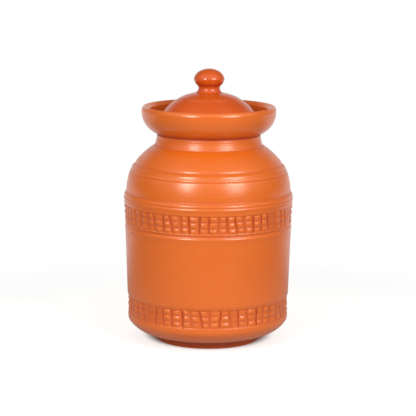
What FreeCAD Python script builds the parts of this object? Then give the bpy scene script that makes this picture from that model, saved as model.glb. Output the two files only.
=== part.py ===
"""Lidded clay water pot: a thrown and turned body with two stamped bands, and a domed lid.

Millimetres, +Z up. The origin is on the pot's axis, on the ground under the foot ring.
Every size is a named cell of the sheet "Sizes"; heights are stacked from the ground up,
so each one moves what stands on it.
"""

import FreeCAD, Part
import math
import os

import Sketcher

doc = FreeCAD.newDocument("ClayWaterPot")

SIZES = {
    # foot ring and the underside of the belly
    "foot_radius": 61.0,
    "foot_flare": 0.5,
    "foot_height": 9.0,
    "foot_ring_width": 9.0,
    "foot_recess": 4.5,
    "underside_width": 12.5,
    "underside_rise": 2.2,
    "bevel_width": 4.9,
    "bevel_rise": 1.7,
    "heel_height": 11.9,
    "heel_bulge": 1.35,
    # wall of the belly, from the heel up to the collar; the collar's radius carries the others
    "collar_radius": 99.75,
    "heel_setback": 1.2,
    "plinth_height": 6.6,
    "plinth_bulge": 0.35,
    "lower_band_setback": 0.7,
    "band_height": 21.8,
    "band_step": 1.3,
    "wall_taper": 2.6,
    "wall_height": 79.4,
    "wall_top_setback": 0.4,
    "bead_height": 6.2,
    "bead_bulge": 0.6,
    "bead_inset": 0.3,
    "upper_band_setback": 1.05,
    "upper_band_lean": 0.8,
    # stamps of the two bands: three rows of cushions in columns between slanting V cuts
    "cushion_relief": 0.75,
    "cut_depth": 2.2,
    "cut_foot_depth": 1.2,
    "cut_slope": 0.62,
    "cut_slant": 2.4,
    "cut_overrun": 0.7,
    "cut_tip_height": 2.0,
    "cut_belly_height": 16.2,
    # collar: a plain slope under two fine beads
    "collar_slope_height": 6.0,
    "collar_bead_height": 3.5,
    "collar_bead_bulge": 0.45,
    "collar_bead_inset": 0.3,
    "collar_bead_setback": 0.9,
    "collar_step_height": 0.9,
    # shoulder, with three turned lines
    "shoulder_setback": 2.45,
    "shoulder_height": 23.0,
    "shoulder_taper": 4.0,
    "shoulder_bulge": 0.8,
    "lines_height": 10.4,
    "lines_setback": 5.6,
    "fine_line_width": 1.2,
    "fine_line_depth": 0.45,
    "fine_line_height": 1.2,
    "fine_line_spacing": 2.1,
    "broad_line_width": 3.0,
    "broad_line_depth": 0.8,
    "broad_line_height": 7.8,
    "upper_shoulder_height": 22.1,
    "upper_shoulder_bulge": 1.3,
    # neck
    "neck_radius": 61.5,
    "ridge_width": 1.7,
    "cove_height": 8.9,
    "cove_hollow": 0.3,
    "neck_height": 3.4,
    "undercut_depth": 1.4,
    "undercut_height": 1.5,
    # cup that holds the lid
    "cup_depth": 26.4,
    "cup_overhang": 17.0,
    "cup_bulge": 5.5,
    "lip_straight": 2.0,
    "lip_thickness": 7.4,
    "lip_crown": 3.0,
    "seat_width": 10.1,
    "seat_drop": 22.8,
    "cup_hollow": 2.4,
    # inside
    "neck_wall": 8.1,
    "wall_thickness": 8.0,
    "floor_thickness": 8.5,
    "floor_radius": 63.0,
    "floor_curve_height": 22.0,
    "floor_curve_hollow": 6.2,
    "throat_rise": 1.5,
    "throat_drop": 5.5,
    "inner_shoulder_hollow": 5.2,
    # lid
    "lid_seat_gap": 0.3,
    "lid_side_gap": 1.7,
    "lid_edge_width": 7.0,
    "lid_edge_height": 3.6,
    "dome_radius": 38.0,
    "dome_height": 29.2,
    "dome_bulge": 3.3,
    "dome_lines_setback": 4.6,
    "dome_lines_height": 2.9,
    "dome_line_width": 1.0,
    "dome_line_depth": 0.35,
    "dome_line_height": 0.75,
    "dome_line_spacing": 1.4,
    "dome_crown_height": 4.6,
    "dome_crown_bulge": 0.35,
    "lid_hollow": 35.0,
    # knob
    "knob_foot_radius": 19.7,
    "knob_neck_height": 9.0,
    "knob_neck_hollow": 3.2,
    "knob_collar_radius": 13.3,
    "knob_under_height": 8.1,
    "knob_under_bulge": 1.1,
    "knob_radius": 18.3,
    "knob_side_height": 10.0,
    "knob_side_bulge": 1.7,
    "knob_crown_radius": 9.1,
    "knob_crown_height": 1.75,
}

# counts of the stamps up and round the bands
CUSHION_ROWS = 3
COLUMNS = {
    "lower_columns": 52,
    "upper_columns": 56,
}

sheet = doc.addObject("Spreadsheet::Sheet", "Sizes")
for row, (word, number) in enumerate({**SIZES, **COLUMNS}.items(), start=1):
    sheet.set(f"A{row}", word)
    sheet.set(f"B{row}", str(number))
    sheet.setAlias(f"B{row}", word)
doc.recompute()


class Size:
    """A length that carries its number together with the sheet formula that gives it."""

    def __init__(self, number, formula):
        self.number = number
        self.formula = formula

    @staticmethod
    def of(value):
        return value if isinstance(value, Size) else Size(value, repr(value))

    def __add__(self, other):
        other = Size.of(other)
        return Size(self.number + other.number, f"({self.formula} + {other.formula})")

    def __sub__(self, other):
        other = Size.of(other)
        return Size(self.number - other.number, f"({self.formula} - {other.formula})")

    def __mul__(self, other):
        other = Size.of(other)
        return Size(self.number * other.number, f"({self.formula} * {other.formula})")

    def __truediv__(self, other):
        other = Size.of(other)
        return Size(self.number / other.number, f"({self.formula} / {other.formula})")


class Sheet:
    """Gives the cells of the sheet as attributes: size.foot_radius and so on."""

    def __getattr__(self, word):
        return Size(SIZES[word], f"Sizes.{word}")


size = Sheet()
AXIS = Size(0.0, "0")


class Outline:
    """A closed half-section in the XZ plane, drawn anticlockwise, with the clay on its left.

    Each corner has its radius from the axis and its rise or drop from the corner before it,
    or from a corner marked earlier. An arc is given by how far it swells out of the straight
    line between its corners, or sinks into the clay.
    """

    def __init__(self, body, name):
        self.sketch = body.newObject("Sketcher::SketchObject", name)
        self.sketch.AttachmentSupport = [(origin_feature(body, "XZ_Plane"), "")]
        self.sketch.MapMode = "FlatFace"
        self.radii = []
        self.heights = []
        self.steps = []
        self.edges = []
        self.marks = {"ground": None}

    def start(self, radius, rise):
        self.corner(radius, rise, None, "ground")

    def corner(self, radius, rise, drop, over):
        base = len(self.radii) - 1 if over is None else self.marks[over]
        height = 0.0 if base is None else self.heights[base]
        if rise is not None:
            height += rise.number
        if drop is not None:
            height -= drop.number
        self.radii.append(radius)
        self.heights.append(height)
        self.steps.append((base, rise, drop))

    def mark(self, name):
        """Names the corner just drawn."""
        self.marks[name] = len(self.radii) - 1

    def line(self, radius, rise=None, drop=None, over=None):
        """A straight edge to the next corner, which lies level where no rise or drop is given."""
        self.edges.append(("line", None))
        self.corner(radius, rise, drop, over)

    def arc(self, radius, rise=None, drop=None, bulge=None, hollow=None):
        """An arc of radius (chord squared / 4 + swell squared) / (2 swell) to the next corner."""
        across = radius - self.radii[-1]
        along = rise or drop or AXIS
        swell = bulge or hollow
        curve = ((across * across + along * along) / 4 + swell * swell) / (swell * 2)
        self.edges.append(("bulge" if bulge else "hollow", curve))
        self.corner(radius, rise, drop, None)

    def crown(self, radius, drop=None, rise=None, kind="bulge"):
        """An arc that meets the axis square on: radius (width squared + height squared) / (2 height)."""
        width = self.radii[-1] if radius is AXIS else radius
        along = rise or drop or AXIS
        self.edges.append((kind, (width * width + along * along) / (along * 2)))
        self.corner(radius, rise, drop, None)

    def close(self):
        """Adds the last edge, then draws and constrains the whole outline."""
        self.edges.append(("line", None))
        count = len(self.radii)
        corners = [FreeCAD.Vector(r.number, z, 0) for r, z in zip(self.radii, self.heights)]
        starts = []
        stops = []
        for index, (kind, curve) in enumerate(self.edges):
            start = corners[index]
            stop = corners[(index + 1) % count]
            clockwise = kind == "hollow"
            if kind == "line":
                self.sketch.addGeometry(Part.LineSegment(start, stop), False)
            else:
                self.sketch.addGeometry(short_arc(start, stop, curve.number, clockwise), False)
            starts.append(2 if clockwise else 1)
            stops.append(1 if clockwise else 2)
        for index in range(count):
            after = (index + 1) % count
            self.add("Coincident", index, stops[index], after, starts[after])
        for index, radius in enumerate(self.radii):
            if radius is AXIS:
                self.add("PointOnObject", index, starts[index], -2)
            else:
                self.bind(self.add("DistanceX", -1, 1, index, starts[index], radius.number), radius)
        for index, (base, rise, drop) in enumerate(self.steps):
            here = (index, starts[index])
            there = (-1, 1) if base is None else (base, starts[base])
            if rise is not None:
                self.bind(self.add("DistanceY", *there, *here, rise.number), rise)
            elif drop is not None:
                self.bind(self.add("DistanceY", *here, *there, drop.number), drop)
            else:
                self.add("Horizontal", *there, *here)
        for index, (kind, curve) in enumerate(self.edges):
            if kind != "line":
                self.bind(self.add("Radius", index, curve.number), curve)
        self.starts = starts
        return self.sketch

    def height_of(self, name):
        """The height of a marked corner, as a reference dimension that other sketches can read."""
        index = self.marks[name]
        number = self.heights[index]
        constraint = self.add("DistanceY", -1, 1, index, self.starts[index], number)
        self.sketch.setDriving(constraint, False)
        self.sketch.renameConstraint(constraint, name)
        return Size(number, f"({self.sketch.Name}.Constraints.{name} / 1 mm)")

    def add(self, *terms):
        return self.sketch.addConstraint(Sketcher.Constraint(*terms))

    def bind(self, constraint, length):
        self.sketch.setExpression(f"Constraints[{constraint}]", length.formula)


def short_arc(start, stop, radius, clockwise):
    """The arc of less than half a circle from start to stop."""
    chord = stop - start
    half = chord.Length / 2
    depth = math.sqrt(max(radius * radius - half * half, 0.0))
    to_left = FreeCAD.Vector(-chord.y, chord.x, 0) / chord.Length
    centre = (start + stop) / 2 + to_left * (-depth if clockwise else depth)
    first, last = (stop, start) if clockwise else (start, stop)
    circle = Part.Circle(centre, FreeCAD.Vector(0, 0, 1), radius)
    return Part.ArcOfCircle(circle, angle_at(centre, first), angle_at(centre, last))


def angle_at(centre, place):
    return math.atan2(place.y - centre.y, place.x - centre.x)


def origin_feature(body, role):
    return next(item for item in body.Origin.OriginFeatures if item.Role == role)


def new_body(name):
    body = doc.addObject("PartDesign::Body", name)
    body.Label = name
    return body


def turned(body, outline, kind="Revolution", axis="V_Axis"):
    """Turns a closed outline once round an axis, to add clay or, as a Groove, to cut it away."""
    feature = body.newObject(f"PartDesign::{kind}", f"{kind}Of{outline.Name}")
    feature.Profile = outline
    feature.ReferenceAxis = (outline, [axis])
    feature.Angle = 360
    return feature


class Slope:
    """A straight sloping field of an outline, from the corner just drawn, for turned V lines."""

    def __init__(self, outline, name, setback, rise):
        outline.mark(name)
        self.outline = outline
        self.name = name
        self.radius = outline.radii[-1]
        self.setback = setback
        self.rise = rise

    def turned_line(self, middle, width, depth):
        """A V line whose middle lies this far above the foot of the slope."""
        for offset, cut in ((middle - width / 2, AXIS), (middle, depth), (middle + width / 2, AXIS)):
            inward = self.setback * offset / self.rise + cut
            self.outline.line(self.radius - inward, rise=offset, over=self.name)

    def end(self):
        self.outline.line(self.radius - self.setback, rise=self.rise, over=self.name)


def cushion_rows(wall, name, radius, lean):
    """A band's bed, sunk into the wall, with rows of cushions that swell back out to the band."""
    wall.mark(name)
    bed = radius - size.cushion_relief
    wall.line(bed)
    for row in range(1, CUSHION_ROWS + 1):
        edge = bed + lean * row / CUSHION_ROWS
        wall.arc(edge, rise=size.band_height / CUSHION_ROWS, bulge=size.cushion_relief)
    wall.line(radius + lean)


def cut_columns(body, foot, name, radius, lean):
    """Slanting V cuts round a band, each deepest at its belly and running out to a point above it."""
    stations = [
        (AXIS - size.cut_overrun, size.cut_foot_depth),
        (size.cut_belly_height, size.cut_depth),
        (size.band_height + size.cut_tip_height, AXIS),
    ]
    sections = []
    for number, (height, depth) in enumerate(stations, start=1):
        section = body.newObject("Sketcher::SketchObject", f"{name}Cut{number}")
        section.AttachmentSupport = [(origin_feature(body, "XY_Plane"), "")]
        section.MapMode = "FlatFace"
        section.setExpression("AttachmentOffset.Base.z", (foot + height).formula)
        share = height / size.band_height
        bottom = radius + lean * share - depth
        mouth = radius + lean * share + size.cut_depth
        middle = size.cut_slant / 2 - size.cut_slant * share
        v_section(section, middle, bottom, mouth)
        sections.append(section)
    cut = body.newObject("PartDesign::SubtractiveLoft", f"{name}Cut")
    cut.Profile = sections[0]
    cut.Sections = sections[1:]
    cut.Ruled = True
    pattern = body.newObject("PartDesign::PolarPattern", f"{name}Columns")
    pattern.Originals = [cut]
    pattern.Axis = (origin_feature(body, "Z_Axis"), [""])
    pattern.Angle = 360
    pattern.setExpression("Occurrences", f"Sizes.{name.lower()}_columns")
    body.Tip = pattern


def v_section(section, middle, bottom, mouth):
    """A triangle that opens towards -Y, from its bottom radius out to its mouth radius."""
    half = (mouth - bottom) * size.cut_slope
    corners = [(middle, bottom), (middle - half, mouth), (middle + half, mouth)]
    places = [FreeCAD.Vector(across.number, -out.number, 0) for across, out in corners]
    for index in range(3):
        section.addGeometry(Part.LineSegment(places[index], places[(index + 1) % 3]), False)
    for index, (across, out) in enumerate(corners):
        terms = [
            ("Coincident", index, 2, (index + 1) % 3, 1),
            ("DistanceX", -1, 1, index, 1, across.number),
            ("DistanceY", index, 1, -1, 1, out.number),
        ]
        section.addConstraint([Sketcher.Constraint(*term) for term in terms])
        section.setExpression(f"Constraints[{3 * index + 1}]", across.formula)
        section.setExpression(f"Constraints[{3 * index + 2}]", out.formula)


def pot_body():
    """The fired body: foot ring, belly, collar, shoulder, neck and the cup for the lid."""
    body = new_body("pot_body")
    wall = Outline(body, "BodySection")
    foot_inner = size.foot_radius - size.foot_ring_width
    foot_top = size.foot_radius + size.foot_flare
    bevel_radius = foot_top + size.underside_width + size.bevel_width
    upper_band_radius = size.collar_radius - size.upper_band_setback
    wall_top_radius = upper_band_radius - size.wall_top_setback
    wall_foot_radius = wall_top_radius - size.wall_taper
    lower_band_radius = wall_foot_radius - size.lower_band_setback
    shoulder_radius = size.collar_radius - size.shoulder_setback
    ridge_radius = size.neck_radius + size.ridge_width
    cup_radius = size.neck_radius + size.cup_overhang
    bore = size.neck_radius - size.neck_wall
    wall.start(AXIS, size.foot_recess)
    wall.line(foot_inner - size.foot_flare)
    wall.line(foot_inner, drop=size.foot_recess)
    wall.line(size.foot_radius)
    wall.line(foot_top, rise=size.foot_height)
    wall.line(foot_top + size.underside_width, rise=size.underside_rise)
    wall.line(bevel_radius, rise=size.bevel_rise)
    heel_radius = lower_band_radius - size.heel_setback
    wall.arc(heel_radius, rise=size.heel_height, bulge=size.heel_bulge)
    wall.arc(lower_band_radius, rise=size.plinth_height, bulge=size.plinth_bulge)
    cushion_rows(wall, "LowerBand", lower_band_radius, AXIS)
    wall.line(wall_foot_radius, rise=size.band_step)
    wall.line(wall_top_radius, rise=size.wall_height)
    wall.arc(wall_top_radius - size.bead_inset, rise=size.bead_height, bulge=size.bead_bulge)
    wall.line(upper_band_radius, rise=size.band_step)
    cushion_rows(wall, "UpperBand", upper_band_radius, size.upper_band_lean)
    wall.line(size.collar_radius, rise=size.collar_slope_height)
    for inset in (size.collar_bead_inset, size.collar_bead_inset + size.collar_bead_setback):
        wall.arc(size.collar_radius - inset, rise=size.collar_bead_height, bulge=size.collar_bead_bulge)
    wall.line(shoulder_radius, rise=size.collar_step_height)
    wall.mark("shoulder")
    lines_radius = shoulder_radius - size.shoulder_taper
    wall.arc(lines_radius, rise=size.shoulder_height, bulge=size.shoulder_bulge)
    lines = Slope(wall, "lines", size.lines_setback, size.lines_height)
    for number in range(2):
        middle = size.fine_line_height + size.fine_line_spacing * number
        lines.turned_line(middle, size.fine_line_width, size.fine_line_depth)
    lines.turned_line(size.broad_line_height, size.broad_line_width, size.broad_line_depth)
    lines.end()
    wall.arc(ridge_radius, rise=size.upper_shoulder_height, bulge=size.upper_shoulder_bulge)
    wall.mark("ridge")
    wall.arc(size.neck_radius, rise=size.cove_height, hollow=size.cove_hollow)
    wall.line(size.neck_radius, rise=size.neck_height)
    wall.line(size.neck_radius - size.undercut_depth, rise=size.undercut_height)
    wall.arc(cup_radius, rise=size.cup_depth, bulge=size.cup_bulge)
    wall.line(cup_radius, rise=size.lip_straight)
    wall.arc(cup_radius - size.lip_thickness, bulge=size.lip_crown)
    wall.arc(bore + size.seat_width, drop=size.seat_drop, hollow=size.cup_hollow)
    wall.mark("Seat")
    inner_ridge = ridge_radius - size.wall_thickness
    inner_shoulder = shoulder_radius - size.wall_thickness
    shoulder_drop = size.upper_shoulder_height + size.lines_height + size.shoulder_height
    wall.line(bore)
    wall.line(bore, rise=size.throat_rise, over="ridge")
    wall.line(inner_ridge, drop=size.throat_drop, over="ridge")
    wall.arc(inner_shoulder, drop=shoulder_drop - size.throat_drop, hollow=size.inner_shoulder_hollow)
    curve_top = size.foot_recess + size.floor_thickness + size.floor_curve_height
    wall.line(wall_foot_radius - size.wall_thickness, rise=curve_top, over="ground")
    wall.arc(size.floor_radius, drop=size.floor_curve_height, hollow=size.floor_curve_hollow)
    wall.line(AXIS)
    turned(body, wall.close())
    lower_foot = wall.height_of("LowerBand")
    upper_foot = wall.height_of("UpperBand")
    cut_columns(body, lower_foot, "Lower", lower_band_radius, AXIS)
    cut_columns(body, upper_foot, "Upper", upper_band_radius, size.upper_band_lean)
    return body, wall


def lid(seat_height):
    """The domed lid: one piece with its knob, hollow below, standing on the seat of the cup."""
    body = new_body("lid")
    half = Outline(body, "LidSection")
    seat_radius = size.neck_radius - size.neck_wall + size.seat_width
    edge_radius = seat_radius - size.lid_side_gap
    under_radius = edge_radius - size.lid_edge_width
    half.start(AXIS, size.lid_hollow)
    half.crown(under_radius, drop=size.lid_hollow, kind="hollow")
    half.line(edge_radius)
    half.line(edge_radius, rise=size.lid_edge_height)
    half.arc(size.dome_radius, rise=size.dome_height, bulge=size.dome_bulge)
    lines = Slope(half, "lines", size.dome_lines_setback, size.dome_lines_height)
    for number in range(2):
        middle = size.dome_line_height + size.dome_line_spacing * number
        lines.turned_line(middle, size.dome_line_width, size.dome_line_depth)
    lines.end()
    half.arc(size.knob_foot_radius, rise=size.dome_crown_height, bulge=size.dome_crown_bulge)
    half.arc(size.knob_collar_radius, rise=size.knob_neck_height, hollow=size.knob_neck_hollow)
    half.arc(size.knob_radius, rise=size.knob_under_height, bulge=size.knob_under_bulge)
    half.arc(size.knob_crown_radius, rise=size.knob_side_height, bulge=size.knob_side_bulge)
    half.crown(AXIS, rise=size.knob_crown_height)
    turned(body, half.close())
    body.setExpression("Placement.Base.z", (seat_height + size.lid_seat_gap).formula)
    return body


def export(bodies):
    """Checks every object and solid of the document, then writes one STEP file for each body."""
    doc.recompute()
    for item in doc.Objects:
        if {"Invalid", "Error"} & set(item.State):
            raise RuntimeError(f"{item.Name} failed: {item.State}")
    for body in bodies:
        if body.Shape.isNull() or not body.Shape.isValid() or len(body.Shape.Solids) != 1:
            raise RuntimeError(f"{body.Label} is not one valid solid")
    os.makedirs("parts", exist_ok=True)
    for body in bodies:
        body.Shape.exportStep(f"parts/{body.Label}.step")


pot, pot_outline = pot_body()
cover = lid(pot_outline.height_of("Seat"))
export([pot, cover])
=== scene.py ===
"""The looks of a lidded clay water pot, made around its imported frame.

The pot and its lid are surfaces turned from half-sections. The half-sections are in millimetres,
with the radius first and the height above the ground second. Everything that reaches Blender is
in metres, with +Z up and the pot's axis on the Z axis. The front of the pot faces -Y.
"""

import math
from typing import NamedTuple

import bpy
import numpy as np
from mathutils import Matrix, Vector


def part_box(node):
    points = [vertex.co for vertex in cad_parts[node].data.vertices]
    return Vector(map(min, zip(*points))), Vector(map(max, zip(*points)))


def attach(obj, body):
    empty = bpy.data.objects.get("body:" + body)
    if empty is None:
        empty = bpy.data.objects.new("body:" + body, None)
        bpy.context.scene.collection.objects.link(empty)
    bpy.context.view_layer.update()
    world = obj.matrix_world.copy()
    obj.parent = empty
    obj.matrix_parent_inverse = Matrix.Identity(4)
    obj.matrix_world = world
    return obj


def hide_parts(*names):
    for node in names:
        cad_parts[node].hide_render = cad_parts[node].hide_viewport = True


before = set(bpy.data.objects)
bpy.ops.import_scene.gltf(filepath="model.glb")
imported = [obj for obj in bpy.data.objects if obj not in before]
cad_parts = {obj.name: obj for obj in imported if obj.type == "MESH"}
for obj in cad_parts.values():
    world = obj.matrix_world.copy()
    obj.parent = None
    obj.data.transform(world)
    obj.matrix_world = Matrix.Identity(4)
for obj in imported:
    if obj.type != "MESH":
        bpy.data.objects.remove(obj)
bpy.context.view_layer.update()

MM = 0.001
lid_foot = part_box("lid")[0].z / MM
lid_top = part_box("lid")[1].z / MM
lip_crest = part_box("pot_body")[1].z / MM

# Skin: the finished clay lies this far inside the frame's outline, which leaves room for the
# waver of a hand-thrown wall
SKIN_INSET = 0.16
WAVER = 0.11

# Turning: steps round the axis inside the pot, on plain clay and on the stamped bands, the
# distance between a band's rows, and how many rows round a corner, up to each reach
INNER_STEPS = 91
PLAIN_STEPS = 2 * INNER_STEPS
STAMPED_STEPS = 4 * PLAIN_STEPS
STAMPED_ROW_STEP = 0.81
CORNER_ROWS = ((0.45, 1), (1.0, 2), (2.0, 3), (math.inf, 5))

# Radii and heights of the foot and the heel
FOOT_RADIUS = 61.0
FOOT_RING_WIDTH = 9.0
FOOT_RECESS = 4.5
FOOT_DRAFT = 0.5
FOOT_HEIGHT = 8.9
UNDERSIDE_RADIUS = 74.0
UNDERSIDE_HEIGHT = 10.9
BEVEL_RADIUS = 79.4
BEVEL_HEIGHT = 11.7
HEEL_RADIUS = 94.3
HEEL_HEIGHT = 24.4
HEEL_TOP_RADIUS = 95.0
HEEL_TOP = 28.0

# The two stamped bands, with plain margins below and above the stamps, the wall between them, and
# the bead and groove under the upper band, whose top leans out
BAND_HEIGHT = 21.8
BAND_MARGIN_BELOW = 0.3
BAND_MARGIN_ABOVE = 1.8
BAND_MARGIN_SPREAD = 0.05
LOWER_BAND_RADIUS = 95.0
LOWER_BAND_EDGE = 30.2
LOWER_BAND_FOOT = 31.4
WALL_FOOT_RADIUS = 95.7
WALL_FOOT_HEIGHT = 55.5
WALL_TOP_RADIUS = 98.3
WALL_TOP_HEIGHT = 133.6
BEAD_HEIGHT = 3.9
BEAD_INSET = 0.3
BEAD_GROOVE = 0.8
BEAD_GROOVE_FOOT = 0.9
BEAD_GROOVE_TOP = 0.7
UPPER_BAND_RADIUS = 98.7
UPPER_BAND_FOOT = 141.4
UPPER_BAND_LEAN = 0.8

# The collar with its two beads, the shoulder with the corners of its stepped lines, and the neck
# with the tops of its throwing rings
COLLAR_RADIUS = 99.65
COLLAR_FOOT = 167.6
COLLAR_BEAD_HEIGHT = 4.15
COLLAR_BEAD_INSET = 0.3
COLLAR_BEAD_SETBACK = 0.9
SHOULDER_RADIUS = 97.3
SHOULDER_FOOT = 177.1
LINES_RADIUS = 93.3
LINES_FOOT = 200.1
SHOULDER_STEPS = (
    (92.2, 200.6), (92.75, 201.3), (91.0, 204.8), (90.5, 206.8), (86.5, 209.9), (86.0, 212.0))
RIDGE_RADIUS = 63.4
RIDGE_HEIGHT = 232.2
NECK_RINGS = ((62.75, 234.4), (62.2, 236.5), (61.7, 238.6), (61.35, 240.7), (61.15, 242.6))
NECK_RADIUS = 61.1
NECK_TOP = 243.9

# The cup, its lip and seat, and the inside
CUP_FOOT_RADIUS = 60.1
CUP_FOOT = 245.4
CUP_RADIUS = 79.2
CUP_TOP = 271.4
LIP_CREST_WIDTH = 2.4
LIP_THICKNESS = 10.0
LIP_SLOPE = 3.6
SEAT_RADIUS = 63.5
SEAT_HEIGHT = 252.0
BORE_RADIUS = 53.4
BORE_FOOT = 233.7
WALL_THICKNESS = 8.0
INNER_SHOULDER_TOP = 226.7
FLOOR_HEIGHT = 13.0
FLOOR_RADIUS = 63.0
FLOOR_CURVE_TOP = 35.0

# Radii and heights of the lid, its heights measured from its foot. The dome's rings lie on a
# straight field: each has its share of the way along it, its half width and its depth.
LID_RADIUS = 61.8
LID_EDGE_WIDTH = 7.0
LID_EDGE_HEIGHT = 3.6
LID_HOLLOW = 35.0
DOME_RADIUS = 38.0
DOME_HEIGHT = 32.8
DOME_FIELD_SETBACK = 4.6
DOME_FIELD_HEIGHT = 2.9
DOME_RINGS = ((0.27, 0.5, 0.42), (0.73, 0.5, 0.42))
KNOB_FOOT_RADIUS = 19.7
KNOB_FOOT = 40.3
KNOB_COLLAR_RADIUS = 13.3
KNOB_COLLAR = 49.3
KNOB_RADIUS = 18.3
KNOB_WIDEST = 57.4
KNOB_CROWN_RADIUS = 9.1
KNOB_CROWN = 67.4

# Stamps: how deep the bed is, and how far a full cushion, rib and cut reach, in millimetres
BED_DEPTH = 1.2
CUSHION_RISE = 1.5
RIB_RISE = 0.6
CUT_DEPTH = 1.7

# Across a column, in shares of its width: the middle and half width of a cushion and a rib, and
# the half width of the thinnest cut and what a full one adds to it
CUSHION_PLACE = 0.47
CUSHION_HALF_WIDTH = 0.38
RIB_PLACE = 0.885
RIB_HALF_WIDTH = 0.07
CUT_HALF_WIDTH = 0.05
CUT_SPREAD = 0.085

# Up the band, in shares of its height: the edges of the bed, where a cut fades in at its foot and
# is widest, where its tip is and how long that is, how much the cut tapers, and where the columns
# begin and cease to lean. A cushion's half height is a share of its own third.
BED_FOOT = (-0.015, 0.022)
BED_TOP = (0.965, 1.01)
CUT_FOOT = (-0.06, 0.02)
CUT_WIDEST = 0.75
CUT_TIP = 1.05
CUT_TIP_LENGTH = 0.28
CUT_TAPER = 0.65
LEAN_START = (-0.35, -0.02)
LEAN_END = (1.05, 1.45)
CUSHIONS_UP = 3
CUSHION_HALF_HEIGHT = 0.43

# Deep colour: painted shade in hollows and cuts, which also stands for slip gathered in them. A
# hollow is measured over a reach to either side and is full at its depth. A cut takes on the
# painted shade once it is deeper than its start, and is full its depth further down.
HOLLOW_REACH = 2.5
HOLLOW_DEPTH = 0.7
CUT_SHADE_START = 0.5
CUT_SHADE_DEPTH = 1.6

# How much painted shade the foot ring, the underside of the cup and the foot of the knob bring, as
# shares of all of it, and how much a full hollow brings, painted shade with slip gathered in it.
# The knob's lies around a height above the lid's foot and fades out between two distances from it.
HOLLOW_SHADE = 0.3
FOOT_SHADE = 0.8
CUP_SHADE = 0.7
KNOB_SHADE = 0.8
KNOB_SHADE_HEIGHT = 50.9
KNOB_SHADE_EDGE = (0.8, 3.2)

# Burnished clay: its colours, and for each pattern its scale per metre and how much it changes
# the colour, the roughness or the relief. Hollows are duller and ridges shinier, within limits.
# The bump's distance is in metres.
BODY_CLAY = (0.70, 0.130, 0.008, 1.0)
BODY_DRY = (0.75, 0.156, 0.013, 1.0)
BODY_ROUGHNESS = 0.29
LID_CLAY = (0.60, 0.080, 0.004, 1.0)
LID_DRY = (0.67, 0.102, 0.006, 1.0)
LID_ROUGHNESS = 0.22
LID_PATTERN_SHIFT = (0.3, 0.7, 0.1)
# The colour of the specks and of the painted shade, with slip in hollows and cuts, up to a share
SHADE_AND_SPECK_CLAY = (0.45, 0.044, 0.002, 1.0)
SHADE_AND_SLIP_SHARE = 0.8
CLOUDS_SCALE = 16.0
CLOUDS_COLOUR = 0.8
CLOUDS_RELIEF = 0.25
STREAKS_SCALE = 14.0
STREAKS_STRETCH = (1.0, 1.0, 34.0)
STREAKS_COLOUR = 0.06
STREAKS_ROUGHNESS = 0.2
STREAKS_RELIEF = 0.02
GRIT_SCALE = 900.0
GRIT_ROUGHNESS = 0.08
GRIT_RELIEF = 0.015
SPECKS_SCALE = 420.0
SPECKS_START = 0.7
SPECKS_GAIN = 3.0
SPECKS_SHARE = 0.2
HOLLOW_ROUGHNESS = 0.25
HOLLOW_LIMITS = (-0.3, 1.0)
ROUGHNESS_LIMITS = (0.12, 0.9)
BUMP_STRENGTH = 0.35
BUMP_DISTANCE = 0.0012
GLAZE_IOR = 1.5
GLAZE_SPECULAR = 0.7

# Table top, in metres: its size, its greys near the pot and away from it, and where it fades into
# the white ground. The camera sees a lift of white in it, outside the edge of a circle round the
# pot's foot, and the pot's gloss shows a share of that, and the white ground behind the pot. Inside
# that edge the lift fades out, which paints the table darker round the foot, a painted shadow on
# top of the real one.
TABLE_RADIUS = 6.0
TABLE_STEPS = 96
TABLE_GREY = (0.55, 0.55, 0.55, 1.0)
FAR_GREY = (0.33, 0.33, 0.33, 1.0)
TABLE_EDGE = (0.22, 0.5)
LIFT = 0.68
LIFT_CENTRE = (0.0, 0.012, 0.0)
LIFT_EDGE = (0.062, 0.080)
GLOSS_LIFT = 0.15
GROUND_EDGE = (0.05, 0.5)

# Room: its light on plain clay, which is part even, part from above and part from the front, and
# what gloss shows: dim walls, a pale screen high in front and a white backdrop behind. Their
# edges are how far a direction of length 1 goes up, to the front or to the back.
FILL = 0.37
FILL_EVEN = 0.75
FILL_ABOVE = 0.4
FILL_FRONT = 0.9
ROOM_GLOSS = 0.12
SCREEN_GLOSS = 0.80
SCREEN_FOOT = (0.1, 0.4)
SCREEN_TOP = (0.85, 1.05)
SCREEN_FRONT = (-0.4, 0.3)
BACKDROP_GLOSS = 0.66
BACKDROP_TOP = (0.25, 0.6)
BACKDROP_BACK = (0.2, 0.95)
WHITE = (1.0, 1.0, 1.0, 1.0)

# Softboxes: each has a name, degrees to the right of the front, width, height and watts
SOFTBOXES = (
    ("left_softbox", -31.0, 0.54, 0.66, 11.5),
    ("right_softbox", 39.0, 0.76, 0.84, 12.9),
)
SOFTBOX_ELEVATION = 25.0
SOFTBOX_DISTANCE = 1.6
SOFTBOX_AIM = (0.0, 0.0, 0.18)
LAMP_COLOUR = (1.0, 0.95, 0.87)

# Camera: lens and sensor in millimetres, place and furthest sight in metres, and the degrees by
# which it is tipped down and rolled
LENS = 149.97
SENSOR = 36.0
CAMERA_PLACE = (-0.00036, -2.02112, 0.51085)
CAMERA_TIP = 9.955
CAMERA_ROLL = 0.386
CAMERA_SIGHT = 50.0


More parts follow.
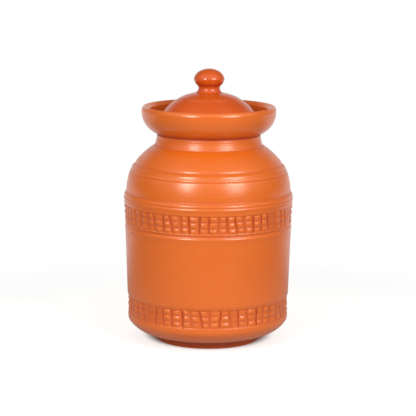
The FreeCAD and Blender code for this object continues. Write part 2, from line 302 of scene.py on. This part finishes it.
class Stretch(NamedTuple):
    """A stretch of an outline: an arc that stands out of its chord by its swell, or sinks in."""

    start: np.ndarray
    end: np.ndarray
    swell: float
    step: float
    soft: float
    steps_round: int

    def length(self):
        return float(np.hypot(*(self.end - self.start)))

    def points(self, share):
        """The points at these shares of the stretch.

        A stretch of swell s and chord c turns by the half angle h = 2 atan(2 s / c). Its point at
        the share t lies c sin(h (2 t - 1)) / (2 sin h) along the chord from the chord's middle and
        c (cos(h (2 t - 1)) - cos h) / (2 sin h) out of it.
        """
        chord = self.end - self.start
        if self.swell == 0:
            return self.start + share[:, None] * chord
        length = self.length()
        out = np.array([chord[1], -chord[0]]) / length
        half = 2 * math.atan(2 * self.swell / length)
        angle = half * (2 * share - 1)
        across = 0.5 + 0.5 * np.sin(angle) / math.sin(half)
        stand = 0.5 * length * (np.cos(angle) - math.cos(half)) / math.sin(half)
        return self.start + across[:, None] * chord + stand[:, None] * out


class Outline:
    """A half-section, drawn anticlockwise from the axis and back to it, its clay on the left."""

    def __init__(self, radius, height):
        self.stretches = []
        self.place = np.array([radius, height], float)

    def to(self, radius, height, swell=0.0, step=2.0, soft=0.5, steps_round=PLAIN_STEPS):
        """Adds a stretch, its rows up to a step apart; soft rounds the corner at its end."""
        end = np.array([radius, height], float)
        self.stretches.append(Stretch(self.place, end, swell, step, soft, steps_round))
        self.place = end

    def turned_lines(self, radius, height, lines, soft=0.25):
        """V lines across a straight slope: lines holds (share of the slope, half width, depth)."""
        start = self.place.copy()
        along = np.array([radius, height], float) - start
        length = np.hypot(*along)
        inward = np.array([-along[1], along[0]]) / length
        for share, half_width, depth in lines:
            for offset, cut in ((-half_width, 0.0), (0.0, depth), (half_width, 0.0)):
                place = start + along * (share + offset / length) + inward * cut
                self.to(*place, step=3.0, soft=soft)
        self.to(radius, height, step=3.0)

    def rows(self):
        """Every row of the surface: its radius, height and steps round, with the corners rounded.

        A corner's round starts and ends its reach away from it, which is at most two fifths of
        either stretch, and is the quadratic curve that the corner's point controls.
        """
        places = []
        turns = []
        cut = 0.0
        for stretch, after in zip(self.stretches, (*self.stretches[1:], None)):
            length = stretch.length()
            reach = min(stretch.soft, 0.4 * length, 0.4 * after.length()) if after else 0.0
            first_share = cut / length
            last_share = 1.0 - reach / length
            gaps = math.ceil((last_share - first_share) * length / stretch.step)
            share = np.linspace(first_share, last_share, max(2, gaps + 1))
            places.append(stretch.points(share))
            turns.append(np.full(len(share), stretch.steps_round))
            cut = reach
            if after:
                begin = places[-1][-1]
                finish = after.points(np.array([reach / after.length()]))[0]
                count = next(rows for limit, rows in CORNER_ROWS if reach < limit)
                bend = ((np.arange(count) + 0.6) / (count + 0.2))[:, None]
                middle = 2 * bend * (1 - bend) * stretch.end
                places.append((1 - bend) ** 2 * begin + middle + bend ** 2 * finish)
                turns.append(np.full(count, min(stretch.steps_round, after.steps_round)))
        places = np.concatenate(places)
        return places[:, 0], places[:, 1], np.concatenate(turns)


def pot_outline():
    """The pot, from under its foot ring up to the lip and down the inside to its floor."""
    pot = Outline(0.0, FOOT_RECESS)
    foot_and_heel(pot)
    banded_wall(pot)
    shoulder_and_neck(pot)
    cup_and_lip(pot)
    inner_wall(pot)
    return pot


def foot_and_heel(pot):
    """The recess in the foot ring, the ring, the flat underside and the curved heel."""
    inner_foot = FOOT_RADIUS - FOOT_RING_WIDTH
    hidden = dict(steps_round=INNER_STEPS)
    pot.to(inner_foot - FOOT_DRAFT, FOOT_RECESS, step=18.0, soft=1.2, **hidden)
    pot.to(inner_foot, 0.0, soft=0.8, **hidden)
    pot.to(FOOT_RADIUS, 0.0, step=4.0, soft=0.9)
    pot.to(FOOT_RADIUS + FOOT_DRAFT, FOOT_HEIGHT, step=3.0, soft=1.2)
    pot.to(UNDERSIDE_RADIUS, UNDERSIDE_HEIGHT, step=4.0, soft=1.0)
    pot.to(BEVEL_RADIUS, BEVEL_HEIGHT, soft=1.5)
    pot.to(HEEL_RADIUS, HEEL_HEIGHT, swell=1.4, step=2.2, soft=1.6)
    pot.to(HEEL_TOP_RADIUS, HEEL_TOP, swell=0.12, step=1.2, soft=0.8)
    pot.to(LOWER_BAND_RADIUS, LOWER_BAND_EDGE, step=1.2, soft=0.6)


def banded_wall(pot):
    """The lower band, the wall, the bead and its groove, the upper band and the collar."""
    stamped_stretch(pot, LOWER_BAND)
    pot.to(WALL_FOOT_RADIUS, WALL_FOOT_HEIGHT, soft=0.6)
    pot.to(WALL_TOP_RADIUS, WALL_TOP_HEIGHT, step=7.0, soft=0.8)
    bead_top = WALL_TOP_HEIGHT + BEAD_HEIGHT
    groove_radius = WALL_TOP_RADIUS - BEAD_GROOVE
    pot.to(WALL_TOP_RADIUS - BEAD_INSET, bead_top, swell=0.6, step=0.7, soft=0.4)
    pot.to(groove_radius, bead_top + BEAD_GROOVE_FOOT, step=0.8, soft=0.4)
    pot.to(groove_radius, UPPER_BAND_FOOT - BEAD_GROOVE_TOP, step=0.8, soft=0.3)
    stamped_stretch(pot, UPPER_BAND)
    pot.to(COLLAR_RADIUS, COLLAR_FOOT, step=1.6, soft=0.4)
    for number in (1, 2):
        radius = COLLAR_RADIUS - COLLAR_BEAD_INSET - COLLAR_BEAD_SETBACK * (number - 1)
        height = COLLAR_FOOT + COLLAR_BEAD_HEIGHT * number
        pot.to(radius, height, swell=0.65, step=0.65, soft=0.25)


def stamped_stretch(pot, band):
    """The rows of a stamped band and its margins; the cuts end in the margin above it."""
    fine = dict(step=STAMPED_ROW_STEP, steps_round=STAMPED_STEPS, soft=0.3)
    top_radius = band.radius + band.lean
    pot.to(band.radius, band.foot - BAND_MARGIN_BELOW, **fine)
    pot.to(top_radius, band.foot + BAND_HEIGHT, **fine)
    pot.to(top_radius + BAND_MARGIN_SPREAD, band.foot + BAND_HEIGHT + BAND_MARGIN_ABOVE, **fine)


def shoulder_and_neck(pot):
    """The shoulder with its stepped lines, the ridge, and the neck with its throwing rings."""
    pot.to(SHOULDER_RADIUS, SHOULDER_FOOT, soft=0.5)
    pot.to(LINES_RADIUS, LINES_FOOT, swell=0.8, step=3.0, soft=0.6)
    for radius, height in SHOULDER_STEPS:
        pot.to(radius, height, step=1.2, soft=0.4)
    pot.to(RIDGE_RADIUS, RIDGE_HEIGHT, swell=1.3, step=2.8, soft=0.9)
    for radius, height in NECK_RINGS:
        pot.to(radius, height, swell=0.10, step=0.75, soft=0.35)
    pot.to(NECK_RADIUS, NECK_TOP, soft=1.2)


def cup_and_lip(pot):
    """The cup's outside, the crest of its lip, the lip's slope inwards and the wall to the seat."""
    pot.to(CUP_FOOT_RADIUS, CUP_FOOT, soft=0.8)
    pot.to(CUP_RADIUS, CUP_TOP, swell=5.3, step=2.4, soft=0.8)
    pot.to(CUP_RADIUS - LIP_CREST_WIDTH, lip_crest, swell=0.85, step=0.65, soft=0.7)
    pot.to(CUP_RADIUS - LIP_THICKNESS, lip_crest - LIP_SLOPE, swell=0.7, step=1.2, soft=1.2)
    pot.to(SEAT_RADIUS, SEAT_HEIGHT, swell=-2.4, step=2.6, soft=1.0)


def inner_wall(pot):
    """The seat, the bore of the neck, and the inside of the shoulder, the wall and the floor."""
    inner = dict(steps_round=INNER_STEPS)
    shoulder = SHOULDER_RADIUS - WALL_THICKNESS
    pot.to(BORE_RADIUS, SEAT_HEIGHT, step=4.0, soft=1.2, **inner)
    pot.to(BORE_RADIUS, BORE_FOOT, step=6.0, soft=1.5, **inner)
    pot.to(RIDGE_RADIUS - WALL_THICKNESS, INNER_SHOULDER_TOP, soft=1.5, **inner)
    pot.to(shoulder, SHOULDER_FOOT, swell=-5.2, step=5.0, soft=1.9, **inner)
    pot.to(WALL_FOOT_RADIUS - WALL_THICKNESS, FLOOR_CURVE_TOP, step=20.0, soft=1.9, **inner)
    pot.to(FLOOR_RADIUS, FLOOR_HEIGHT, swell=-6.2, step=5.0, soft=1.9, **inner)
    pot.to(0.0, FLOOR_HEIGHT, step=20.0, **inner)


def crown_swell(width, rise):
    """The swell s of an arc this wide and high that meets the axis square on.

    With the chord c^2 = width^2 + rise^2, its radius is R = c^2 / (2 rise), and its swell is
    s = R - sqrt(R^2 - c^2 / 4).
    """
    chord_squared = width ** 2 + rise ** 2
    radius = chord_squared / (2 * rise)
    return radius - math.sqrt(radius ** 2 - chord_squared / 4)


def lid_outline():
    """The hollow under the dome, the edge, the dome with its two fine rings, and the knob."""
    under = LID_RADIUS - LID_EDGE_WIDTH
    field_radius = DOME_RADIUS - DOME_FIELD_SETBACK
    field_top = lid_foot + DOME_HEIGHT + DOME_FIELD_HEIGHT
    crown = lid_foot + KNOB_CROWN
    lid = Outline(0.0, lid_foot + LID_HOLLOW)
    lid.to(under, lid_foot, swell=-crown_swell(under, LID_HOLLOW), step=4.0, soft=0.8)
    lid.to(LID_RADIUS, lid_foot, step=3.0, soft=0.8)
    lid.to(LID_RADIUS, lid_foot + LID_EDGE_HEIGHT, soft=1.2)
    lid.to(DOME_RADIUS, lid_foot + DOME_HEIGHT, swell=3.3, step=1.6, soft=0.5)
    lid.turned_lines(field_radius, field_top, DOME_RINGS)
    lid.to(KNOB_FOOT_RADIUS, lid_foot + KNOB_FOOT, swell=0.35, step=1.4, soft=2.5)
    lid.to(KNOB_COLLAR_RADIUS, lid_foot + KNOB_COLLAR, swell=-3.2, step=0.9, soft=1.0)
    lid.to(KNOB_RADIUS, lid_foot + KNOB_WIDEST, swell=1.1, step=0.9, soft=1.2)
    lid.to(KNOB_CROWN_RADIUS, crown, swell=1.7, step=0.9, soft=1.5)
    lid.to(0.0, lid_top, swell=crown_swell(KNOB_CROWN_RADIUS, lid_top - crown), step=1.1)
    return lid


class Band:
    """A stamped band: columns of three cushions between slanting, thorn-shaped cuts.

    samples are the places across a column at which its surface is worked out, as shares of it.
    """

    def __init__(self, foot, radius, lean, columns, samples, turn, seed):
        self.foot = foot
        self.radius = radius
        self.lean = lean
        self.columns = columns
        self.turn = math.radians(turn)
        self.column_steps = len(samples)
        self.place = np.tile(np.array(samples), columns)
        self.column = np.repeat(np.arange(columns), self.column_steps)
        chance = np.random.default_rng(seed)
        # Shares of a column's width by which its border is moved, leans and bows
        self.shift = chance.uniform(-0.12, 0.12, columns)
        self.slant = 0.16 + chance.uniform(-0.24, 0.24, columns)
        self.bow = chance.uniform(-0.07, 0.07, columns)
        # Shares of the full cut and cushion; one column in seven is pressed a third as far
        self.cut_depth = chance.uniform(0.2, 1.2, columns)
        self.cut_width = chance.uniform(0.6, 1.4, columns)
        pressed = chance.uniform(0.45, 1.0, (CUSHIONS_UP, columns))
        self.fullness = pressed * chance.choice((1.0, 0.35), columns, p=(0.86, 0.14))
        # Shares of the band's height by which a column sits low, and of the full rib
        self.row_shift = chance.uniform(-0.026, 0.026, columns)
        self.rib = chance.uniform(0.0, 1.0, columns)

    def share(self, height):
        """0 at the foot of the band and 1 at its top."""
        return (height - self.foot) / BAND_HEIGHT

    def spread(self, values, beyond=0.0):
        """A column's and the next one's value at every step; beyond is added past the last one."""
        after = np.append(values[1:], values[0] + beyond)
        return np.repeat(values, self.column_steps), np.repeat(after, self.column_steps)

    def angles(self, height):
        """The angle of every step on a row: columns lean, bow and wander, and the samples follow.

        Below and above the band the columns begin to stand even.
        """
        up = self.share(height)
        held = smooth(up, *LEAN_START) * (1 - smooth(up, *LEAN_END))
        wander = self.shift + self.slant * (0.5 - up) + self.bow * np.sin(2 * math.pi * up)
        borders = np.arange(self.columns) + held * wander
        start, after = self.spread(borders, self.columns)
        return (start + self.place * (after - start)) * (2 * math.pi / self.columns) + self.turn

    def relief(self, height):
        """How far the clay stands from the plain band at every step of a row, in millimetres.

        The stamp presses a bed and leaves the cushions in it and a thin rib beside the cut.
        """
        up = self.share(height)
        bed = smooth(up, *BED_FOOT) * (1 - smooth(up, *BED_TOP))
        return bed * (self.cushions(up) + self.ribs() - BED_DEPTH) - self.cuts(up)

    def cushions(self, up):
        """Cushions one above the other, each a dome 1 - |f|^2.8 across times 1 - g^2 up."""
        moved, _ = self.spread(self.row_shift)
        up_here = np.clip(up + moved, 0, 0.999) * CUSHIONS_UP
        number = up_here.astype(int)
        off = (self.place - CUSHION_PLACE) / CUSHION_HALF_WIDTH
        across = np.clip(1 - np.abs(off) ** 2.8, 0, 1)
        rise = np.clip(1 - ((up_here - number - 0.5) / CUSHION_HALF_HEIGHT) ** 2, 0, 1)
        return CUSHION_RISE * self.fullness[number, self.column] * across * rise

    def ribs(self):
        """A rib of triangular section up each column, beside the cut that ends it."""
        rib, _ = self.spread(self.rib)
        return RIB_RISE * rib * np.clip(1 - np.abs(self.place - RIB_PLACE) / RIB_HALF_WIDTH, 0, 1)

    def cuts(self, up):
        """V cuts at the borders of the columns.

        Each opens from a tip above the band, is widest and deepest at three quarters of the band's
        height, and narrows downwards until it closes at the foot.
        """
        here = self.place < 0.5
        depth = np.where(here, *self.spread(self.cut_depth))
        width = np.where(here, *self.spread(self.cut_width))
        opened = np.clip((CUT_TIP - up) / CUT_TIP_LENGTH, 0, 1)
        tapered = (1 - CUT_TAPER) + CUT_TAPER * np.clip(up + (1 - CUT_WIDEST), 0, 1)
        thorn = opened * tapered * smooth(up, *CUT_FOOT)
        half_width = CUT_HALF_WIDTH + CUT_SPREAD * thorn * width
        edge = np.minimum(self.place, 1 - self.place)
        return CUT_DEPTH * depth * thorn * np.clip(1 - edge / half_width, 0, 1)


def smooth(value, low, high):
    """0 below low and 1 above high, with the smooth step 3 t^2 - 2 t^3 between."""
    share = np.clip((value - low) / (high - low), 0, 1)
    return share * share * (3 - 2 * share)


# Both bands have STAMPED_STEPS samples in all, which lie closest at the cut between two columns
CUT_SAMPLES = (0.0, 0.03, 0.065, 0.11, 0.18)
LOWER_BAND = Band(
    LOWER_BAND_FOOT, LOWER_BAND_RADIUS, 0.0, columns=52, turn=-88.0, seed=11,
    samples=(*CUT_SAMPLES, 0.28, 0.38, 0.48, 0.58, 0.68, 0.78, 0.86, 0.91, 0.96),
)
UPPER_BAND = Band(
    UPPER_BAND_FOOT, UPPER_BAND_RADIUS, UPPER_BAND_LEAN, columns=56, turn=-90.0, seed=5,
    samples=(*CUT_SAMPLES, 0.30, 0.42, 0.54, 0.66, 0.77, 0.86, 0.91, 0.96),
)


def band_at(height):
    """The nearer band, whose turn the steps of a row follow."""
    return LOWER_BAND if height < WALL_TOP_HEIGHT / 2 else UPPER_BAND


def waver(angle, height):
    """The slow, uneven swing of a wall thrown by hand, between -1 and 1: three sines, summed."""
    slow = np.sin(2 * angle + 0.9 + height / 90) + 0.6 * np.sin(3 * angle + 2.1 - height / 55)
    return (slow + 0.4 * np.sin(5 * angle + height / 21)) / 2


def turn(name, outline):
    """Turns an outline round the Z axis into one closed surface.

    A point is (r cos a, r sin a, z) with r the outline's radius, less the skin's inset, which
    fades out on the axis, plus the waver and the band's relief. Rows with as many steps are joined
    by quads, and a row meets a finer one by faces that take two or four of its steps.
    """
    radius, height, steps = outline.rows()
    rows = []
    deep = []
    for r, z, count, sunk in zip(radius, height, steps, hollow(radius, height)):
        angle, relief = row_steps(r, z, count)
        inset = SKIN_INSET * min(1.0, r / KNOB_RADIUS)
        out = r - inset + WAVER * waver(angle, z) * r / COLLAR_RADIUS + relief
        up = np.full(len(angle), z)
        rows.append(np.stack([out * np.cos(angle), out * np.sin(angle), up], axis=1))
        deep.append(painted_shade_and_slip(r, z, sunk, relief))
    counts = [len(row) for row in rows]
    starts = np.cumsum([0, *counts[:-1]])
    faces = []
    for low, low_count, high, high_count in zip(starts, counts, starts[1:], counts[1:]):
        faces.extend(strip(low, low_count, high, high_count).tolist())
    mesh = bpy.data.meshes.new(name)
    mesh.from_pydata((np.concatenate(rows) * MM).tolist(), [], faces)
    mesh.validate()
    mesh.polygons.foreach_set("use_smooth", np.ones(len(mesh.polygons), bool))
    # The hollow attribute carries the painted shade, and in hollows and cuts the slip, of each step
    shade_and_slip_values = mesh.attributes.new("hollow", "FLOAT", "POINT")
    shade_and_slip_values.data.foreach_set("value", np.concatenate(deep).astype(np.float32))
    piece = bpy.data.objects.new(name, mesh)
    bpy.context.scene.collection.objects.link(piece)
    return piece


def row_steps(radius, height, count):
    """The angle and the relief at every step of a row, which is a single point on the axis."""
    band = band_at(height)
    if radius < 1e-6:
        return np.zeros(1), np.zeros(1)
    if count == STAMPED_STEPS:
        return band.angles(height), band.relief(height)
    return np.arange(count) * (2 * math.pi / count) + band.turn, np.zeros(count)


def strip(low, low_count, high, high_count):
    """The faces between the row of points that starts at number low and the next, at high."""
    if low_count == 1:
        step = np.arange(high_count)
        after = (step + 1) % high_count
        return np.stack([np.full(high_count, low), high + after, high + step], axis=1)
    if high_count == 1:
        step = np.arange(low_count)
        after = (step + 1) % low_count
        return np.stack([low + step, low + after, np.full(low_count, high)], axis=1)
    face = np.arange(min(low_count, high_count))
    low_takes = low_count // len(face)
    high_takes = high_count // len(face)
    below = [low + (face * low_takes + k) % low_count for k in range(low_takes + 1)]
    above = [high + (face * high_takes + k) % high_count for k in range(high_takes + 1)]
    return np.stack(below + above[::-1], axis=1)


def hollow(radius, height):
    """How far each row lies below the straight line between the rows a reach before and after.

    It is +1 at HOLLOW_DEPTH or more, as in a turned line, and -1 as far out, as on a sharp ridge.
    """
    along = np.concatenate([[0], np.cumsum(np.hypot(np.diff(radius), np.diff(height)))])
    before = np.stack([np.interp(along - HOLLOW_REACH, along, side) for side in (radius, height)])
    after = np.stack([np.interp(along + HOLLOW_REACH, along, side) for side in (radius, height)])
    chord = after - before
    out = np.stack([chord[1], -chord[0]]) / (np.hypot(*chord) + 1e-9)
    middle = (before + after) / 2 - np.stack([radius, height])
    return np.clip((middle * out).sum(axis=0) / HOLLOW_DEPTH, -1, 1)


def painted_shade_and_slip(radius, height, sunk, relief):
    """How much deep colour is painted at each step of a row: painted shade with slip in hollows and
    cuts, and painted shade on the foot ring, under the cup and under the knob.
    """
    # Painted shade in hollows and cuts, which also stands for slip gathered in them
    deep = HOLLOW_SHADE * sunk - np.minimum(relief + CUT_SHADE_START, 0) / CUT_SHADE_DEPTH
    # Painted shade: the foot ring is coloured darker, as it stands in the pot's shadow
    if height < FOOT_HEIGHT and radius > FOOT_RADIUS - FOOT_RING_WIDTH - 1:
        deep = deep + FOOT_SHADE
    # Painted shade: the underside of the cup is coloured darker towards the neck
    if NECK_TOP < height < SEAT_HEIGHT and radius > CUP_FOOT_RADIUS - 1:
        deep = deep + CUP_SHADE * (1 - smooth(height, CUP_FOOT, SEAT_HEIGHT))
    # Painted shadow: a darker ring of colour at the pinch under the knob's bulb
    if height > lid_foot + KNOB_FOOT:
        off = abs(height - lid_foot - KNOB_SHADE_HEIGHT)
        deep = deep + KNOB_SHADE * (1 - smooth(off, *KNOB_SHADE_EDGE))
    return np.clip(deep, -1, 1)


class Wire:
    """A socket that takes part in arithmetic: each operation adds its Math node."""

    def __init__(self, nodes, socket):
        self.nodes = nodes
        self.socket = socket

    def math(self, operation, *others):
        sockets = dict(enumerate((self, *others)))
        return self.nodes.add("ShaderNodeMath", {"operation": operation}, sockets)

    def __add__(self, other):
        return self.math("ADD", other)

    __radd__ = __add__

    def __mul__(self, other):
        return self.math("MULTIPLY", other)

    __rmul__ = __mul__

    def __sub__(self, other):
        return self.math("SUBTRACT", other)

    def __rsub__(self, other):
        return (self * -1.0) + other

    def clamp(self, low, high):
        return self.math("MAXIMUM", low).math("MINIMUM", high)

    def steps(self, low, high):
        """0 below low and 1 above high, with a smooth step between."""
        sockets = {"Value": self, "From Min": low, "From Max": high}
        return self.nodes.add("ShaderNodeMapRange", {"interpolation_type": "SMOOTHSTEP"}, sockets)


class Nodes:
    """The node tree of a material or a world, and the one way in which its nodes are made."""

    def __init__(self, owner):
        owner.use_nodes = True
        self.owner = owner
        self.tree = owner.node_tree
        self.tree.nodes.clear()

    def add(self, kind, settings=None, sockets=None, output=0):
        """Adds a node, sets it, fills its sockets with values or wires, and gives its output."""
        made = self.tree.nodes.new(kind)
        for word, value in (settings or {}).items():
            setattr(made, word, value)
        for word, value in (sockets or {}).items():
            if isinstance(value, Wire):
                self.tree.links.new(value.socket, made.inputs[word])
            else:
                made.inputs[word].default_value = value
        return Wire(self, made.outputs[output]) if len(made.outputs) else None

    def mix(self, share, first, second):
        """The colour that lies this share of the way from the first to the second."""
        settings = {"data_type": "RGBA", "blend_type": "MIX", "clamp_factor": True}
        return self.add("ShaderNodeMix", settings, {0: share, 6: first, 7: second}, output=2)

    def glow(self, strength):
        return self.add("ShaderNodeEmission", None, {"Strength": strength})

    def distance(self, place, point):
        """How far a place is from a point."""
        settings = {"operation": "DISTANCE"}
        return self.add("ShaderNodeVectorMath", settings, {0: place, 1: point}, output="Value")

    def noise(self, place, scale, stretch=(1.0, 1.0, 1.0), detail=3.0, offset=(0.0, 0.0, 0.0)):
        """Clouds about 1 / scale metres wide, narrowed on each axis by stretch."""
        sockets = {"Vector": place, "Scale": stretch, "Location": offset}
        where = self.add("ShaderNodeMapping", None, sockets)
        sockets = {"Vector": where, "Scale": scale, "Detail": detail}
        return self.add("ShaderNodeTexNoise", None, sockets)

    def rays(self):
        """1 for what the camera sees straight on, and 1 for what gloss or glass shows it."""
        seen = self.add("ShaderNodeLightPath", output="Is Camera Ray")
        outputs = seen.socket.node.outputs
        glossy = Wire(self, outputs["Is Glossy Ray"])
        return seen, glossy.math("MAXIMUM", Wire(self, outputs["Is Transmission Ray"]))

    def finish(self, surface, output="ShaderNodeOutputMaterial"):
        self.add(output, None, {"Surface": surface})
        return self.owner


def burnished_clay(name, clay, dry, roughness, offset=(0.0, 0.0, 0.0)):
    """Clay under a burnished slip: cloudy colour, turning streaks, specks, and painted shade in
    hollows, cuts and sheltered places.
    """
    nodes = Nodes(bpy.data.materials.new(name))
    place = nodes.add("ShaderNodeTexCoord", output="Object")
    # The hollow attribute: painted shade on the foot ring, under the cup and under the knob, and
    # painted shade with slip in hollows and cuts
    sunk = nodes.add("ShaderNodeAttribute", {"attribute_name": "hollow"}, output="Fac")
    clouds = nodes.noise(place, CLOUDS_SCALE, offset=offset, detail=4.0)
    streaks = nodes.noise(place, STREAKS_SCALE, stretch=STREAKS_STRETCH, offset=offset)
    grit = nodes.noise(place, GRIT_SCALE, offset=offset, detail=2.0)
    specks = nodes.noise(place, SPECKS_SCALE, offset=offset, detail=1.0)
    shade = 0.5 + ((clouds - 0.5) * CLOUDS_COLOUR + (streaks - 0.5) * STREAKS_COLOUR)
    speckled = ((specks - SPECKS_START) * SPECKS_GAIN).clamp(0.0, SPECKS_SHARE)
    colour = nodes.mix(shade.clamp(0.0, 1.0), clay, dry)
    colour = nodes.mix((sunk * SHADE_AND_SLIP_SHARE).clamp(0.0, SHADE_AND_SLIP_SHARE), colour, SHADE_AND_SPECK_CLAY)
    colour = nodes.mix(speckled, colour, SHADE_AND_SPECK_CLAY)
    rough = roughness + (streaks - 0.5) * STREAKS_ROUGHNESS + (grit - 0.5) * GRIT_ROUGHNESS
    rough = rough + sunk.clamp(*HOLLOW_LIMITS) * HOLLOW_ROUGHNESS
    relief = clouds * CLOUDS_RELIEF + streaks * STREAKS_RELIEF + grit * GRIT_RELIEF
    bump = nodes.add("ShaderNodeBump", None, {
        "Strength": BUMP_STRENGTH, "Distance": BUMP_DISTANCE, "Height": relief,
    })
    surface = nodes.add("ShaderNodeBsdfPrincipled", None, {
        "Base Color": colour, "Roughness": rough.clamp(*ROUGHNESS_LIMITS), "Normal": bump,
        "IOR": GLAZE_IOR, "Specular IOR Level": GLAZE_SPECULAR,
    })
    return nodes.finish(surface)


def studio_floor():
    """A pale table top, whose white ground behind the pot also shows in the pot's gloss.

    The camera's white is added to the light of the matt table top, so the pot's shadow stays; it
    fades out round the foot, which paints a shadow there.
    """
    nodes = Nodes(bpy.data.materials.new("studio_floor"))
    seen, mirrored = nodes.rays()
    place = nodes.add("ShaderNodeTexCoord", output="Object")
    away = nodes.add("ShaderNodeSeparateXYZ", None, {0: place}, output="Y")
    far = nodes.distance(place, (0.0, 0.0, 0.0)).steps(*TABLE_EDGE)
    matt = nodes.add("ShaderNodeBsdfDiffuse", None, {"Color": nodes.mix(far, TABLE_GREY, FAR_GREY)})
    # Painted shadow: the white lift fades out near the foot, so the table is darker there than its
    # light makes it
    around = nodes.distance(place, LIFT_CENTRE).steps(*LIFT_EDGE)
    lift = (seen + mirrored * (GLOSS_LIFT - GLOSS_LIFT * far)) * (around * LIFT)
    table = nodes.add("ShaderNodeAddShader", None, {0: matt, 1: nodes.glow(lift)})
    ground = seen.math("MAXIMUM", mirrored * away.steps(*GROUND_EDGE)) * far
    return nodes.finish(
        nodes.add("ShaderNodeMixShader", None, {0: ground, 1: table, 2: nodes.glow(1.0)}))


def floor():
    """A large flat disc on the ground."""
    angle = np.arange(TABLE_STEPS) * (2 * math.pi / TABLE_STEPS)
    rim = np.stack([np.cos(angle), np.sin(angle), np.zeros(TABLE_STEPS)], axis=1) * TABLE_RADIUS
    mesh = bpy.data.meshes.new("floor")
    mesh.from_pydata(rim.tolist(), [], [list(range(TABLE_STEPS))])
    mesh.materials.append(studio_floor())
    ground = bpy.data.objects.new("floor", mesh)
    bpy.context.scene.collection.objects.link(ground)


def surroundings():
    """A dim room with a screen and a white backdrop, which the camera sees as white all round."""
    nodes = Nodes(bpy.data.worlds.new("studio"))
    bpy.context.scene.world = nodes.owner
    seen, mirrored = nodes.rays()
    toward = nodes.add("ShaderNodeTexCoord", output="Generated")
    away = nodes.add("ShaderNodeSeparateXYZ", None, {0: toward}, output="Y")
    up = nodes.add("ShaderNodeSeparateXYZ", None, {0: toward}, output="Z")
    front = away * -1.0
    backdrop = away.steps(*BACKDROP_BACK) * (1.0 - up.steps(*BACKDROP_TOP))
    screen = up.steps(*SCREEN_FOOT) * (1.0 - up.steps(*SCREEN_TOP)) * front.steps(*SCREEN_FRONT)
    reflected = ROOM_GLOSS + screen * SCREEN_GLOSS + backdrop * BACKDROP_GLOSS
    lit = FILL_EVEN + FILL_ABOVE * up.clamp(-0.5, 1.0) + FILL_FRONT * front.clamp(0.0, 1.0)
    lit = FILL * lit
    strength = seen + (1.0 - seen) * (lit + mirrored * (reflected - lit))
    light = nodes.add("ShaderNodeBackground", None, {"Color": WHITE, "Strength": strength})
    nodes.finish(light, "ShaderNodeOutputWorld")


def softbox(name, azimuth, width, height, watts):
    """A soft round lamp, this many degrees to the right of the front, aimed at the pot."""
    lamp = bpy.data.lights.new(name, "AREA")
    lamp.shape = "ELLIPSE"
    lamp.color = LAMP_COLOUR
    lamp.size = width
    lamp.size_y = height
    lamp.energy = watts
    holder = bpy.data.objects.new(name, lamp)
    side = math.radians(azimuth)
    up = math.radians(SOFTBOX_ELEVATION)
    back = np.array([math.sin(side) * math.cos(up), -math.cos(side) * math.cos(up), math.sin(up)])
    right = np.array([math.cos(side), math.sin(side), 0.0])
    place = np.array(SOFTBOX_AIM) + SOFTBOX_DISTANCE * back
    turned = Matrix(np.stack([right, np.cross(back, right), back], axis=1).tolist())
    holder.matrix_world = Matrix.Translation(place) @ turned.to_4x4()
    bpy.context.scene.collection.objects.link(holder)


def camera():
    """A long lens a little above the rim, tipped down and turned by a hair round its own axis."""
    lens = bpy.data.cameras.new("camera")
    lens.sensor_width = SENSOR
    lens.lens = LENS
    lens.clip_end = CAMERA_SIGHT
    eye = bpy.data.objects.new("camera", lens)
    tip = Matrix.Rotation(math.radians(90.0 - CAMERA_TIP), 4, "X")
    roll = Matrix.Rotation(math.radians(CAMERA_ROLL), 4, "Z")
    eye.matrix_world = Matrix.Translation(CAMERA_PLACE) @ tip @ roll
    bpy.context.scene.collection.objects.link(eye)
    bpy.context.scene.camera = eye


camera()
surroundings()
floor()
for softbox_values in SOFTBOXES:
    softbox(*softbox_values)
bpy.context.scene.view_settings.view_transform = "Standard"

pot = turn("pot", pot_outline())
pot.data.materials.append(burnished_clay("pot_clay", BODY_CLAY, BODY_DRY, BODY_ROUGHNESS))
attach(pot, "pot")
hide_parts("pot_body")

cover = turn("cover", lid_outline())
cover.data.materials.append(
    burnished_clay("lid_clay", LID_CLAY, LID_DRY, LID_ROUGHNESS, LID_PATTERN_SHIFT))
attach(cover, "lid")
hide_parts("lid")

bpy.context.view_layer.update()
